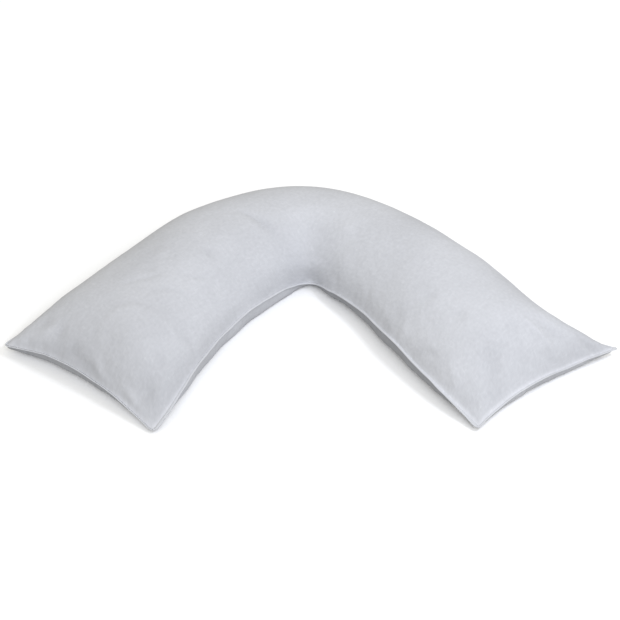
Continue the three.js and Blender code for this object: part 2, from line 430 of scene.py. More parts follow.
# Lumps of the filling and creases of the upper panel, placed where the photo shows them. An oval swells
# or sinks the cloth, and a crease is a narrow trough or ridge along a bent line. Both also carry painted
# light
# and shade in the cotton: paler on the rises, darker in the hollows and creases.
LUMPS = (
    # x, y, long, short, turn in degrees, height, painted light in percent (shade below 0); the first fourteen
    # are broad painted light and shade alone
    (80, 30, 75, 42, -50, 0, 9),
    (160, -65, 75, 36, -50, 0, 4.5),
    (238, -182, 60, 40, -50, 0, 5.5),
    (-455, -140, 62, 42, -30, 0, -11),
    (-380, -212, 50, 20, -30, 0, -7),
    (-284, -236, 60, 40, 50, 0, -6),
    (-272, -110, 80, 60, 50, 0, -6),
    (-330, -20, 120, 50, 45, 0, -4),
    (-40, 225, 120, 50, 0, 0, -3),
    (470, -50, 120, 38, -38, 0, -10),
    (-170, -65, 80, 22, 53, 0, 3),
    (-200, -110, 80, 28, 53, 0, 5),
    (-95, 5, 70, 28, 50, 0, 6),
    (-2, 104, 60, 40, 0, 0, -5),
    (-302, -149, 68, 60, 0, 4, 1.5),
    (-285, -240, 11, 9, 60, -2, -6),
    (-288, -234, 28, 20, 60, -4, -5),
    (-275, -264, 13, 12, 0, -2, -6),
    (-219, -140, 8, 8, 0, -1.5, -7),
    (-228, -132, 25, 14, 60, -2, -4),
    (-406, -177, 17, 13, 30, -1, -4),
    (-489, -80, 14, 10, 0, -2, -6),
    (-459, -106, 15, 10, 80, -2, -5),
    (-484, -102, 16, 12, 0, 2, 6),
    (-432, -155, 9, 9, 0, 1, 5),
    (-429, -142, 11, 10, 0, -1.5, -4),
    (-264, -192, 12, 10, 60, -1.5, -4),
    (-189, 35, 10, 6, -35, -2, -7),
    (-234, 55, 90, 55, 45, 4, 0),
    (-18, 133, 60, 40, 0, 1, 1.5),
    (71, 115, 20, 14, 0, 2, 4),
    (41, 75, 30, 22, 60, -0.8, -1.5),
    (67, 81, 28, 10, 25, -0.4, -1),
    (-78, 48, 28, 22, 0, 1, 2),
    (-76, 24, 34, 12, 40, -1, -5),
    (84, 3, 14, 10, 0, -1, -3),
    (139, -78, 12, 9, 60, -1.5, -6),
    (221, -68, 12, 10, 0, -1.5, -4),
    (162, -75, 24, 14, 120, -2, -3),
    (270, -113, 14, 12, 0, -1.5, -3),
    (367, -134, 17, 14, 0, -2, -4),
    (336, -206, 28, 16, 100, -5, -7),
    (168, -110, 14, 12, 0, 2, 5),
    (255, -210, 28, 20, 20, 2, 4),
    (322, -183, 17, 12, 90, -2, -3),
    (290, -255, 20, 16, 0, -2, -4),
    (-275, 26, 14, 10, 40, 1.5, 4),
    (-294, -10, 10, 8, 0, -1.5, -3),
)
CREASES = (
    # start, bend, end, half width, height, painted light in percent (shade below 0)
    ((-297, -69), (-264, -54), (-209, -64), 3.5, -1.2, -5),
    ((-345, -43), (-302, -38), (-255, -14), 4, -1.5, -3.5),
    ((-243, -20), (-213, -30), (-180, -8), 4, -1.8, -4),
    ((-389, -165), (-386, -191), (-344, -224), 7, 2.5, 5),
    ((-338, -217), (-321, -233), (-299, -259), 6, 4, 8),
    ((-352, -93), (-309, -80), (-250, -124), 6, -1, -3.5),
    ((-381, -157), (-374, -79), (-288, -111), 9, 1, 2.5),
    ((-288, -111), (-250, -124), (-236, -155), 8, 1, 2.5),
    ((-129, 150), (-79, 116), (-45, 88), 10, -4, -5),
    ((-140, 152), (-92, 130), (-60, 108), 4, -2, -4),
    ((-7, 85), (6, 84), (27, 66), 4, -1, -5),
    ((19, 80), (38, 57), (56, 34), 6, 2, 4),
    ((33, 71), (50, 51), (64, 29), 5, -1.5, -5),
    ((382, -107), (410, -128), (460, -151), 6, 4, 3.5),
    ((416, -105), (440, -122), (469, -124), 9, -3, -6),
    ((496, -105), (518, -115), (541, -113), 5, -2, -6),
    ((505, -119), (523, -122), (536, -116), 5, 2, 4),
    ((187, -146), (201, -148), (231, -169), 6, -2.5, -5),
    ((320, -225), (329, -235), (342, -243), 4, -2, -5),
    ((339, -222), (347, -228), (355, -231), 4, -1.5, -4),
    ((-55, 60), (-38, 65), (-22, 74), 3, -1, -3),
    ((-454, -135), (-418, -155), (-394, -180), 6, -1.5, -3),
    ((379, -147), (384, -162), (392, -176), 4, -1.5, -3),
)
CREASE_STEPS = 33
CREASE_FADE = 0.08
CRINKLES = 110
CRINKLE_SEED = 17
CRINKLE_HEIGHT = 2.2  # this and the next four are in millimetres, as in CREASES
CRINKLE_STARTS = (0, 10)
CRINKLE_ENDS = (14, 42)
CRINKLE_BEND = 3
CRINKLE_HALF_WIDTHS = (2, 4.5)
CRINKLE_PLACES = (0.03, 0.97)  # shares of the left end
CRINKLE_LEAN = 0.03
FIBRE_SEED = 11
FIBRE_LUMPS = 150
FIBRE_LUMP_HEIGHT = 0.5 * MM
FIBRE_LUMP_SIZES = (14 * MM, 45 * MM)
SOFT_BULGE = 0.35
LYING_HEIGHT = 20 * MM


def way_up(grid):
    """The direction square to the panel at each point."""
    along = np.gradient(grid, axis=0)
    aside = np.gradient(grid, axis=1)
    up = np.cross(along, aside)
    return up / np.maximum(np.linalg.norm(up, axis=2, keepdims=True), 1e-12)


def ovals(grid, placed):
    """Height and painted light and shade of all the ovals at each point of a grid."""
    height, tone = np.zeros(grid.shape[:2]), np.zeros(grid.shape[:2])
    for x, y, long, short, turn, rise, paler in placed:
        ahead, aside = math.cos(math.radians(turn)), math.sin(math.radians(turn))
        dx, dy = grid[:, :, 0] - x * MM, grid[:, :, 1] - y * MM
        along = (dx * ahead + dy * aside) / (long * MM)
        over = (dy * ahead - dx * aside) / (short * MM)
        share = np.exp(-along ** 2 - over ** 2)
        height += rise * MM * share
        tone += paler / 100 * share
    return height, tone


def creases(grid, placed):
    """Height and painted light and shade of all the creases at each point of a grid."""
    height, tone = np.zeros(grid.shape[:2]), np.zeros(grid.shape[:2])
    for start, bend, end, half_width, rise, paler in placed:
        best = np.full(grid.shape[:2], np.inf)
        shown = np.zeros(grid.shape[:2])
        for t in np.linspace(0, 1, CREASE_STEPS):
            x = (1 - t) ** 2 * start[0] + 2 * t * (1 - t) * bend[0] + t ** 2 * end[0]
            y = (1 - t) ** 2 * start[1] + 2 * t * (1 - t) * bend[1] + t ** 2 * end[1]
            gap = np.hypot(grid[:, :, 0] - x * MM, grid[:, :, 1] - y * MM)
            nearer = gap < best
            best[nearer] = gap[nearer]
            shown[nearer] = math.sin(math.pi * (CREASE_FADE + (1 - 2 * CREASE_FADE) * t))
        share = shown * np.exp(-(best / (half_width * MM)) ** 2)
        height += rise * MM * share
        tone += paler / 100 * share
    return height, tone


def fibre_lumps(grid, seed):
    """Small uneven lumps that the fibre filling makes all over a panel."""
    chance = np.random.default_rng(seed)
    height = np.zeros(grid.shape[:2])
    flat = grid.reshape(-1, 3)
    for _ in range(FIBRE_LUMPS):
        x, y, _ = flat[chance.integers(len(flat))]
        size = chance.uniform(*FIBRE_LUMP_SIZES)
        rise = chance.normal() * FIBRE_LUMP_HEIGHT
        height += rise * np.exp(-((grid[:, :, 0] - x) ** 2 + (grid[:, :, 1] - y) ** 2) / size ** 2)
    return height


def end_crinkles():
    """Short sharp creases of the lower panel just under the left end seam, in the rows of CREASES."""
    chance = np.random.default_rng(CRINKLE_SEED)
    inner_corner, outer_corner = SECTIONS[0, 0:2] / MM, SECTIONS[0, 3:5] / MM
    along = outer_corner - inner_corner
    inward = np.array([along[1], -along[0]]) / np.linalg.norm(along)
    found = []
    for _ in range(CRINKLES):
        share = chance.uniform(*CRINKLE_PLACES)
        drawn_in = ENDS["left"]["drawn in"] / MM * 4 * share * (1 - share)
        foot = inner_corner + share * along + inward * drawn_in
        near, far = chance.uniform(*CRINKLE_STARTS), chance.uniform(*CRINKLE_ENDS)
        lean = chance.normal() * CRINKLE_LEAN
        start, end = foot + inward * near, foot + inward * far + lean * along
        bend = (start + end) / 2 + chance.normal() * CRINKLE_BEND * along / np.linalg.norm(along)
        half_width = chance.uniform(*CRINKLE_HALF_WIDTHS)
        found.append((start, bend, end, half_width, chance.normal() * CRINKLE_HEIGHT, 0))
    return found


soft = np.minimum(1, bulge / SOFT_BULGE)
# The ovals and creases bring painted light and shade as well as height.
oval_height, oval_painted_light = ovals(upper, LUMPS)
crease_height, crease_painted_light = creases(upper, CREASES)
upper_height = (oval_height + crease_height + fibre_lumps(upper, FIBRE_SEED)) * soft
upper += upper_height[:, :, None] * way_up(upper)
lower_side = np.minimum(1, lower[:, :, 2] / LYING_HEIGHT)
lower_height = fibre_lumps(lower, FIBRE_SEED + 1) * soft + creases(lower, end_crinkles())[0]
lower -= (lower_height * lower_side)[:, :, None] * way_up(lower)
lower[:, :, 2] = np.maximum(lower[:, :, 2], 0)

# Puckers along the seam: the sewing draws the cloth up a little, so both panels ripple beside it, most of all
# at the ends and at the inner corner. The underside sags unevenly below the seam, its foot is tucked in above
# the floor, and the seam itself waves a little up and down.
PUCKER_LENGTHS = (13 * MM, 19 * MM, 31 * MM)
PUCKER_REACH = 16 * MM
PUCKER_HEIGHT = 0.15 * MM
INNER_CORNER_PUCKERS = 1.5
INNER_CORNER_REACH = 0.55  # in rows of SECTIONS
END_PUCKERS = 2.2
UPPER_PUCKER_SEED = 21
LOWER_PUCKER_SEED = 31
WOBBLE = 0.7
WOBBLE_LENGTH = 5.3  # in lengths of the ripple that it wobbles
SAG_LENGTHS = (83 * MM, 131 * MM, 190 * MM)
SAG_DEPTH = 1.6 * MM
SAG_REACH = 34 * MM
SAG_SEED = 51
TUCK_DEPTH = 15 * MM
TUCK_HEIGHT = 20 * MM
TUCK_START = 26 * MM
TUCK_REACH = 150 * MM
TUCK_CHANGE = (0.45, 0.55)  # shares of the inner side, untucked before and tucked after
OUTER_TUCK = 0.6
TUCK_AIM_COLUMN = 12  # grid lines in from the seam toward which the foot is tucked
TUCK_AIM_ROW = 14
SEAM_WAVE = 1.8 * MM
SEAM_WAVE_REACH = 45 * MM
SEAM_WAVE_HEIGHT = 30 * MM  # the wave dies away where the seam lies lower than this
SEAM_WAVE_SEED = 61


def ripple(run, seed, lengths=PUCKER_LENGTHS):
    """An uneven wave along a run of seam, between about -1 and 1."""
    chance = np.random.default_rng(seed)
    wave = np.zeros_like(run)
    for length in lengths:
        drift = chance.uniform(0, 2 * math.pi)
        slow = 2 * math.pi * run / (WOBBLE_LENGTH * length)
        wobble = WOBBLE * np.sin(slow + chance.uniform(0, 2 * math.pi))
        wave += np.sin(2 * math.pi * run / length + drift + wobble)
    return wave / len(lengths)


def puckers(grid, seed):
    """Height of the puckers along all four seams of a panel."""
    from_inner, from_outer, from_left, from_right = gaps_to_sides(grid)
    near_corner = np.exp(-((place - APEX_ROW) / INNER_CORNER_REACH) ** 2)
    inner_strength = (1 + INNER_CORNER_PUCKERS * near_corner)[:, None]
    sides = (
        (from_inner, ripple(runs_of(grid[:, 0]), seed)[:, None], inner_strength),
        (from_outer, ripple(runs_of(grid[:, -1]), seed + 1)[:, None], 1.0),
        (from_left, ripple(runs_of(grid[0]), seed + 2)[None, :], END_PUCKERS),
        (from_right, ripple(runs_of(grid[-1]), seed + 3)[None, :], END_PUCKERS),
    )
    height = np.zeros(grid.shape[:2])
    for gap, wave, strength in sides:
        height += PUCKER_HEIGHT * strength * wave * (gap / PUCKER_REACH) * np.exp(1 - gap / PUCKER_REACH)
    return height


upper += puckers(upper, UPPER_PUCKER_SEED)[:, :, None] * way_up(upper)
lower -= puckers(lower, LOWER_PUCKER_SEED)[:, :, None] * way_up(lower)


def sags(grid, seed):
    """How far the underside sags unevenly outwards below the seam, along the inner side and both ends."""
    from_inner, _, from_left, from_right = gaps_to_sides(grid)
    sides = (
        (from_inner, ripple(runs_of(grid[:, 0]), seed, SAG_LENGTHS)[:, None]),
        (from_left, ripple(runs_of(grid[0]), seed + 1, SAG_LENGTHS)[None, :]),
        (from_right, ripple(runs_of(grid[-1]), seed + 2, SAG_LENGTHS)[None, :]),
    )
    sag = np.zeros(grid.shape[:2])
    for gap, wave in sides:
        sag += SAG_DEPTH * wave * (gap / SAG_REACH) ** 2 * np.exp(2 * (1 - gap / SAG_REACH))
    return sag


lower -= sags(lower, SAG_SEED)[:, :, None] * way_up(lower)


def tucked_in(grid):
    """How far the foot of the underside is tucked in along the floor, from every side but the right end."""
    foot = np.maximum(0, 1 - grid[:, :, 2] / TUCK_HEIGHT) ** 2
    moves = np.zeros_like(grid)
    from_inner, from_outer, from_left, _ = gaps_to_sides(grid)
    along_inner = np.linspace(0, 1, rows)[:, None]
    inner_depth = np.interp(along_inner, TUCK_CHANGE, (0, TUCK_DEPTH))
    sides = (
        (from_inner, (grid[:, TUCK_AIM_COLUMN] - grid[:, 0])[:, None], inner_depth),
        (from_outer, (grid[:, -1 - TUCK_AIM_COLUMN] - grid[:, -1])[:, None], OUTER_TUCK * TUCK_DEPTH),
        (from_left, (grid[TUCK_AIM_ROW] - grid[0])[None, :], TUCK_DEPTH),
    )
    for gap, way_in, depth in sides:
        way_in = way_in * (1, 1, 0)
        way_in /= np.maximum(np.linalg.norm(way_in, axis=2, keepdims=True), 1 * MM)
        near = np.clip(gap / TUCK_START, 0, 1) ** 2 * np.clip(1 - gap / TUCK_REACH, 0, 1)
        moves += (depth * foot * near)[:, :, None] * way_in
    return moves


lower += tucked_in(lower)
seam_lift = np.zeros_like(sharp_seam)
seam_lift[:, 2] = SEAM_WAVE * ripple(runs_of(sharp_seam), SEAM_WAVE_SEED, SAG_LENGTHS)
seam_lift[OUTER_START:LEFT_START, 2] = 0
seam_lift[:, 2] *= np.minimum(1, sharp_seam[:, 2] / SEAM_WAVE_HEIGHT)
seam_wave = spread_from_seam(seam_lift, SEAM_WAVE_REACH)
upper += seam_wave
lower += seam_wave
lower[:, :, 2] = np.maximum(lower[:, :, 2], 0)

# The turned edge inside the cover: four layers of cotton lie folded along the seam and show through as a
# paler strip, clearest beside the lower corners, along the right end and at the inner corner; the strip is
# partly painted highlight, most of all at the inner corner. Under the seam the cloth carries painted light on
# the sides that face the lamps and painted shade on those that face away.
STRIP_WIDTH = 9 * MM
STRIP_CORNER_TONE = 0.14
STRIP_CORNER_RUN = 150 * MM
# Painted highlight at the inner corner.
STRIP_APEX_HIGHLIGHT = 0.14
STRIP_APEX_ROW = 5.05  # in rows of SECTIONS, as its reach
STRIP_APEX_REACH = 0.13
STRIP_RIGHT_END_TONE = 0.13
STRIP_LEFT_END_TONE = 0.06
STRIP_TIP_TONE = 0.07
STRIP_TIP_RUN = 70 * MM
# Painted light on the sides under the seam that face the lamps, painted shade on those that face away.
UNDER_LEFT_ARM_PAINTED_LIGHT = 0.2
UNDER_RIGHT_ARM_PAINTED_SHADE = -0.26
UNDER_LEFT_END_PAINTED_SHADE = -0.2
UNDER_RIGHT_END_PAINTED_LIGHT = 0.14
UNDER_TONE_CHANGE = (0.44, 0.52)  # shares of the inner side, between which the arms' tones change over
UNDER_TONE_BLEND = 12 * MM
UNDER_TONE_REACH = 90 * MM
FADE_START = 1.5
CORNER_FADE_START = 1.6


def fading(distance, reach, start=FADE_START):
    """A share that falls evenly from its start to nothing at its reach, held at 1 where it is more."""
    return np.clip(start * (1 - distance / reach), 0, 1)


def strip_and_highlight_tone(grid):
    """How much paler the folded edge and its painted highlight make each point of the upper panel."""
    from_inner, from_outer, from_left, from_right = gaps_to_sides(grid)
    inner_run, outer_run = runs_of(grid[:, 0]), runs_of(grid[:, -1])
    to_corner = np.minimum(inner_run, inner_run[-1] - inner_run)
    by_tip = STRIP_TIP_TONE * fading(outer_run[-1] - outer_run, STRIP_TIP_RUN)
    by_corner = STRIP_CORNER_TONE * fading(to_corner, STRIP_CORNER_RUN, CORNER_FADE_START)
    apex_highlight = STRIP_APEX_HIGHLIGHT * np.exp(-((place - STRIP_APEX_ROW) / STRIP_APEX_REACH) ** 2)
    tone = np.zeros(grid.shape[:2])
    for gap, strength in ((from_inner, (by_corner + apex_highlight)[:, None]), (from_outer, by_tip[:, None]),
                          (from_left, STRIP_LEFT_END_TONE), (from_right, STRIP_RIGHT_END_TONE)):
        tone = np.maximum(tone, strength * fading(gap, STRIP_WIDTH))
    return tone


# Painted light and shade of the upper panel: the tone of the lumps and creases, and the seam strip with its
# painted highlight.
painted_light_and_edge_tone = 1 + oval_painted_light + crease_painted_light + strip_and_highlight_tone(upper)


def painted_underside_light(grid):
    """Painted light and shade of the cloth below the seam, side by side, fading out under the pillow."""
    from_inner, from_outer, from_left, from_right = gaps_to_sides(grid)
    along_inner = np.linspace(0, 1, rows)[:, None]
    inner_painted_light = np.interp(along_inner, UNDER_TONE_CHANGE, (UNDER_LEFT_ARM_PAINTED_LIGHT, UNDER_RIGHT_ARM_PAINTED_SHADE))
    nearest = np.minimum(np.minimum(from_inner, from_outer), np.minimum(from_left, from_right))
    tone = np.zeros(grid.shape[:2])
    sides = (
        (from_inner, inner_painted_light),
        (from_left, UNDER_LEFT_END_PAINTED_SHADE),
        (from_right, UNDER_RIGHT_END_PAINTED_LIGHT),
    )
    for gap, side_painted_light in sides:
        tone += side_painted_light * fading(gap - nearest, UNDER_TONE_BLEND, 1) * fading(gap, UNDER_TONE_REACH)
    return tone


# Painted light and shade below the seam.
underside_painted_light = 1 + painted_underside_light(lower)

# The seam ridge: the turned edge that stands out all round, four layers of cotton pressed together. It is
# 3.4 mm wide, and wider along the inner side, 1.4 mm thick, and closes the two panels into one skin.
RIDGE_PROFILE = ((0.0, 0.5), (0.35, 0.7), (0.8, 0.6), (1.0, 0.0), (0.8, -0.6), (0.35, -0.7), (0.0, -0.5))
RIDGE_LEAN = 0.6 * MM
RIDGE_UNEVENNESS = 0.08
RIDGE_WIDTH_SEED = 41
RIDGE_LEAN_SEED = 42
WIDTH_QUICKNESS = 0.4  # how quickly the ridge's width and lean vary along it, against the puckers
LEAN_QUICKNESS = 0.3
INNER_DROOP = 0.45
DROOP_START = 0.5  # in runs of the widened edge from a lower corner
CORNER_TAIL = 5 * MM
CORNER_TAIL_WIDTH = 1.2 * MM


def seamed_skin():
    """The closed skin of the pillow: upper panel, seam ridge and lower panel as one mesh."""
    numbers = np.arange(rows * columns).reshape(rows, columns)
    seam_numbers = border_of(numbers[:, :, None]).ravel()
    seam = upper.reshape(-1, 3)[seam_numbers]
    out = ways_out(seam)
    run = runs_of(seam)
    unevenness = RIDGE_UNEVENNESS * ripple(run * WIDTH_QUICKNESS, RIDGE_WIDTH_SEED)
    width = edge_width * (1 + unevenness)
    width += CORNER_TAIL * np.exp(-((run - run[OUTER_START]) / CORNER_TAIL_WIDTH) ** 2)
    to_corner = np.minimum(run, run[rows - 1] - run)
    inner_droop = np.clip(to_corner / CORNER_EDGE_RUN - DROOP_START, 0, 1)
    droops = np.where(np.arange(len(seam)) < rows, inner_droop, 0)
    lean = RIDGE_LEAN * ripple(run * LEAN_QUICKNESS, RIDGE_LEAN_SEED) - INNER_DROOP * droops * width
    rings = []
    for share, height in RIDGE_PROFILE:
        ring = seam + out * (width * share)[:, None]
        ring[:, 2] += height * MM + lean * share
        rings.append(ring)
    points = [upper.reshape(-1, 3).copy(), lower.reshape(-1, 3).copy(), *rings[1:-1]]
    points[0][seam_numbers] = rings[0]
    points[1][seam_numbers] = rings[-1]
    count = len(seam)
    ring_numbers = [seam_numbers]
    for k in range(len(rings) - 2):
        ring_numbers.append(2 * rows * columns + k * count + np.arange(count))
    ring_numbers.append(rows * columns + seam_numbers)
    faces = [quads(numbers), quads(numbers + rows * columns)[:, ::-1]]
    for above, below in zip(ring_numbers[:-1], ring_numbers[1:]):
        faces.append(np.stack([above, below, np.roll(below, -1), np.roll(above, -1)], 1))
    mesh = bpy.data.meshes.new("pillow_cover")
    mesh.from_pydata(np.concatenate(points).tolist(), [], np.concatenate(faces).tolist())
    mesh.update()
    return mesh, ring_numbers, rings


cover_mesh, ring_numbers, rings = seamed_skin()
cover_mesh.polygons.foreach_set("use_smooth", np.ones(len(cover_mesh.polygons), dtype=bool))
pillow_cover = bpy.data.objects.new("pillow_cover", cover_mesh)
bpy.context.scene.collection.objects.link(pillow_cover)

# The cut of the cloth, kept as a UV map in metres: each panel laid flat again, its threads along and across
# the left arm, so the weave keeps its true size over the crown and down the sides.
GRAIN_TURN = math.radians(45)


def laid_flat(grid):
    """Where each point of a panel lay on the flat cloth."""
    steps = np.linalg.norm(np.diff(grid, axis=1), axis=2)
    reach = np.concatenate([np.zeros((len(grid), 1)), np.cumsum(steps, 1)], 1)
    reach -= reach[:, -1:] / 2
    middle = (grid[:, 0, :2] + grid[:, -1, :2]) / 2
    aside = grid[:, -1, :2] - grid[:, 0, :2]
    aside /= np.linalg.norm(aside, axis=1, keepdims=True)
    return middle[:, None, :] + reach[:, :, None] * aside[:, None, :]


def cloth_map():
    """The UV map of the whole skin, the ridge drawn from the seam that it grows out of."""
    flat = np.zeros((len(cover_mesh.vertices), 2))
    flat[:rows * columns] = laid_flat(upper).reshape(-1, 2)
    flat[rows * columns:2 * rows * columns] = laid_flat(lower).reshape(-1, 2)
    out = ways_out(rings[0])[:, :2]
    for numbers, (share, _) in zip(ring_numbers[1:-1], RIDGE_PROFILE[1:-1]):
        flat[numbers] = flat[ring_numbers[0]] + out * (edge_width * share)[:, None]
    turned = np.stack([
        flat[:, 0] * math.cos(GRAIN_TURN) + flat[:, 1] * math.sin(GRAIN_TURN),
        flat[:, 1] * math.cos(GRAIN_TURN) - flat[:, 0] * math.sin(GRAIN_TURN),
    ], 1)
    corner_numbers = np.empty(len(cover_mesh.loops), dtype=int)
    cover_mesh.loops.foreach_get("vertex_index", corner_numbers)
    layer = cover_mesh.uv_layers.new(name="cloth")
    layer.uv.foreach_set("vector", turned[corner_numbers].astype(np.float32).ravel())


cloth_map()

seam_edge = np.zeros(len(cover_mesh.vertices))
for numbers in ring_numbers:
    seam_edge[numbers] = 1
# This attribute carries the painted light and shade of both panels, with the seam strip.
whole_painted_light_and_edge = np.ones(len(cover_mesh.vertices))
whole_painted_light_and_edge[:rows * columns] = painted_light_and_edge_tone.ravel()
whole_painted_light_and_edge[rows * columns:2 * rows * columns] = underside_painted_light.ravel()
for title, values in (("seam_edge", seam_edge), ("painted_light_and_edge_tone", whole_painted_light_and_edge)):
    attribute = cover_mesh.attributes.new(title, "FLOAT", "POINT")
    attribute.data.foreach_set("value", values.astype(np.float32))

# Pale plain-weave cotton: its threads are drawn in bunches of about two millimetres, with short slubs both
# ways, softly crumpled and matt. The colour drifts and mottles a little and carries the painted light and
# shade kept at the points; the turned edge is a shade paler, partly for its folded layers and partly as
# painted highlight.
COTTON_PALE = (0.558, 0.568, 0.599)
COTTON_DEEP = (0.500, 0.509, 0.537)
# The ridge's paler colour is partly its folded layers and partly painted highlight.
EDGE_PALE_AND_HIGHLIGHT = (0.67, 0.68, 0.70)
EDGE_HIGHLIGHT_SHARE = 0.2
BUNCHES_A_METRE = 450
WAVE_TURN = 20  # a wave texture's own turn, in radians for each unit of its scale
SLUBS_ACROSS = 620
SLUBS_ALONG = 70
SLUB_LIMITS = (0.58, 0.75)
SLUB_SHADE = 0.07
MOTTLES_A_METRE = 150
MOTTLE_LIMITS = (0.25, 0.75)
MOTTLE_SHADE = 0.05
DRIFT_A_METRE = 7
DRIFT_LIMITS = (0.3, 0.7)
CRUMPLES_A_METRE = 40
CRUMPLE_DEPTH = 1.6 * MM
THREAD_DEPTH = 0.15 * MM


def node(tree, kind, **values):
    """A new node with its settings and, where they are named for its sockets, their values."""
    made = tree.nodes.new(kind)
    for name, value in values.items():
        if name in made.inputs:
            made.inputs[name].default_value = value
        else:
            setattr(made, name, value)
    return made


def noise_on(tree, vector, scale, detail):
    """Even noise of one size on a vector socket."""
    noise = node(tree, "ShaderNodeTexNoise", Scale=scale, Detail=detail)
    tree.links.new(vector, noise.inputs["Vector"])
    return noise.outputs["Fac"]


def spread_between(tree, value, limits, results):
    """A value carried from one pair of limits to another, and held there."""
    spread = node(tree, "ShaderNodeMapRange")
    spread.inputs["From Min"].default_value, spread.inputs["From Max"].default_value = limits
    spread.inputs["To Min"].default_value, spread.inputs["To Max"].default_value = results
    tree.links.new(value, spread.inputs["Value"])
    return spread.outputs["Result"]


def product(tree, first, second):
    """Two values multiplied, the second a socket or a number."""
    times = node(tree, "ShaderNodeMath", operation="MULTIPLY")
    tree.links.new(first, times.inputs[0])
    if isinstance(second, float):
        times.inputs[1].default_value = second
    else:
        tree.links.new(second, times.inputs[1])
    return times.outputs["Value"]


def mixed(tree, share, first, second):
    """Two colours mixed by a share, each a socket or a plain colour."""
    mix = node(tree, "ShaderNodeMix", data_type="RGBA")
    tree.links.new(share, mix.inputs["Factor"])
    for socket, colour in ((mix.inputs[6], first), (mix.inputs[7], second)):
        if isinstance(colour, tuple):
            socket.default_value = (*colour, 1)
        else:
            tree.links.new(colour, socket)
    return mix.outputs[2]


def kept_on_cloth(tree, title):
    """A value kept at the points of the cloth."""
    return node(tree, "ShaderNodeAttribute", attribute_name=title).outputs["Fac"]


def cotton():
    """The cotton of the cover, its colour and its relief both on the flat cut of the cloth."""
    material = bpy.data.materials.new("pale_cotton")
    material.use_nodes = True
    tree = material.node_tree
    shader = tree.nodes["Principled BSDF"]
    shader.inputs["Roughness"].default_value = 0.9
    shader.inputs["Specular IOR Level"].default_value = 0.25
    shader.inputs["Sheen Weight"].default_value = 0.12
    shader.inputs["Sheen Roughness"].default_value = 0.5
    cut = node(tree, "ShaderNodeUVMap", uv_map="cloth").outputs["UV"]
    piece = node(tree, "ShaderNodeTexCoord").outputs["Object"]

    drift = spread_between(tree, noise_on(tree, piece, DRIFT_A_METRE, 3), DRIFT_LIMITS, (0, 1))
    colour = mixed(tree, drift, COTTON_DEEP, COTTON_PALE)
    mottles = noise_on(tree, cut, MOTTLES_A_METRE, 3)
    shade = spread_between(tree, mottles, MOTTLE_LIMITS, (1 - MOTTLE_SHADE, 1 + MOTTLE_SHADE))
    # The mottles are multiplied by the painted light and shade kept at the points.
    shade = product(tree, shade, kept_on_cloth(tree, "painted_light_and_edge_tone"))
    slubs = []
    for scale in ((SLUBS_ACROSS, SLUBS_ALONG, 1), (SLUBS_ALONG, SLUBS_ACROSS, 1)):
        stretch = node(tree, "ShaderNodeMapping", Scale=scale)
        tree.links.new(cut, stretch.inputs["Vector"])
        slub = spread_between(tree, noise_on(tree, stretch.outputs["Vector"], 1, 1), SLUB_LIMITS, (0, 1))
        slubs.append(slub)
        shade = product(tree, shade, spread_between(tree, slub, (0, 1), (1, 1 + SLUB_SHADE)))
    shaded = node(tree, "ShaderNodeVectorMath", operation="SCALE")
    tree.links.new(colour, shaded.inputs[0])
    tree.links.new(shade, shaded.inputs["Scale"])
    # The ridge is mixed toward the paler colour, partly as painted highlight.
    edge_highlight_share = product(tree, kept_on_cloth(tree, "seam_edge"), EDGE_HIGHLIGHT_SHARE)
    tree.links.new(mixed(tree, edge_highlight_share, shaded.outputs["Vector"], EDGE_PALE_AND_HIGHLIGHT), shader.inputs["Base Color"])

    crumple = node(tree, "ShaderNodeBump", Strength=1, Distance=CRUMPLE_DEPTH)
    tree.links.new(noise_on(tree, cut, CRUMPLES_A_METRE, 2), crumple.inputs["Height"])
    threads = []
    for direction in ("X", "Y"):
        wave = node(tree, "ShaderNodeTexWave", wave_type="BANDS", bands_direction=direction)
        wave.inputs["Scale"].default_value = 2 * math.pi * BUNCHES_A_METRE / WAVE_TURN
        wave.inputs["Distortion"].default_value = 0.6
        tree.links.new(cut, wave.inputs["Vector"])
        threads.append(wave.outputs["Fac"])
    crossing = node(tree, "ShaderNodeMath", operation="MAXIMUM")
    tree.links.new(threads[0], crossing.inputs[0])
    tree.links.new(threads[1], crossing.inputs[1])
    relief = node(tree, "ShaderNodeMath", operation="ADD")
    tree.links.new(crossing.outputs["Value"], relief.inputs[0])
    tree.links.new(slubs[0], relief.inputs[1])
    weave = node(tree, "ShaderNodeBump", Strength=0.3, Distance=THREAD_DEPTH)
    tree.links.new(relief.outputs["Value"], weave.inputs["Height"])
    tree.links.new(crumple.outputs["Normal"], weave.inputs["Normal"])
    tree.links.new(weave.outputs["Normal"], shader.inputs["Normal"])
    return material


pale_cotton = cotton()
cover_mesh.materials.append(pale_cotton)
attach(pillow_cover, "root")
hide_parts("pillow")

# Closing stitches: the left end was sewn up last, after filling, with a row of short cotton stitches along
# the root of its turned edge. Each is a bit of thread that stands a little proud and lies a little askew.
STITCH_PITCH = 3.6 * MM
STITCH_LENGTH = 2.4 * MM
THREAD_THICKNESS = 0.5 * MM
STITCH_SKEW = 0.35
STITCH_SEED = 7
STITCH_SIDES = 6
UNSTITCHED = 6  # seam points left free beside either corner


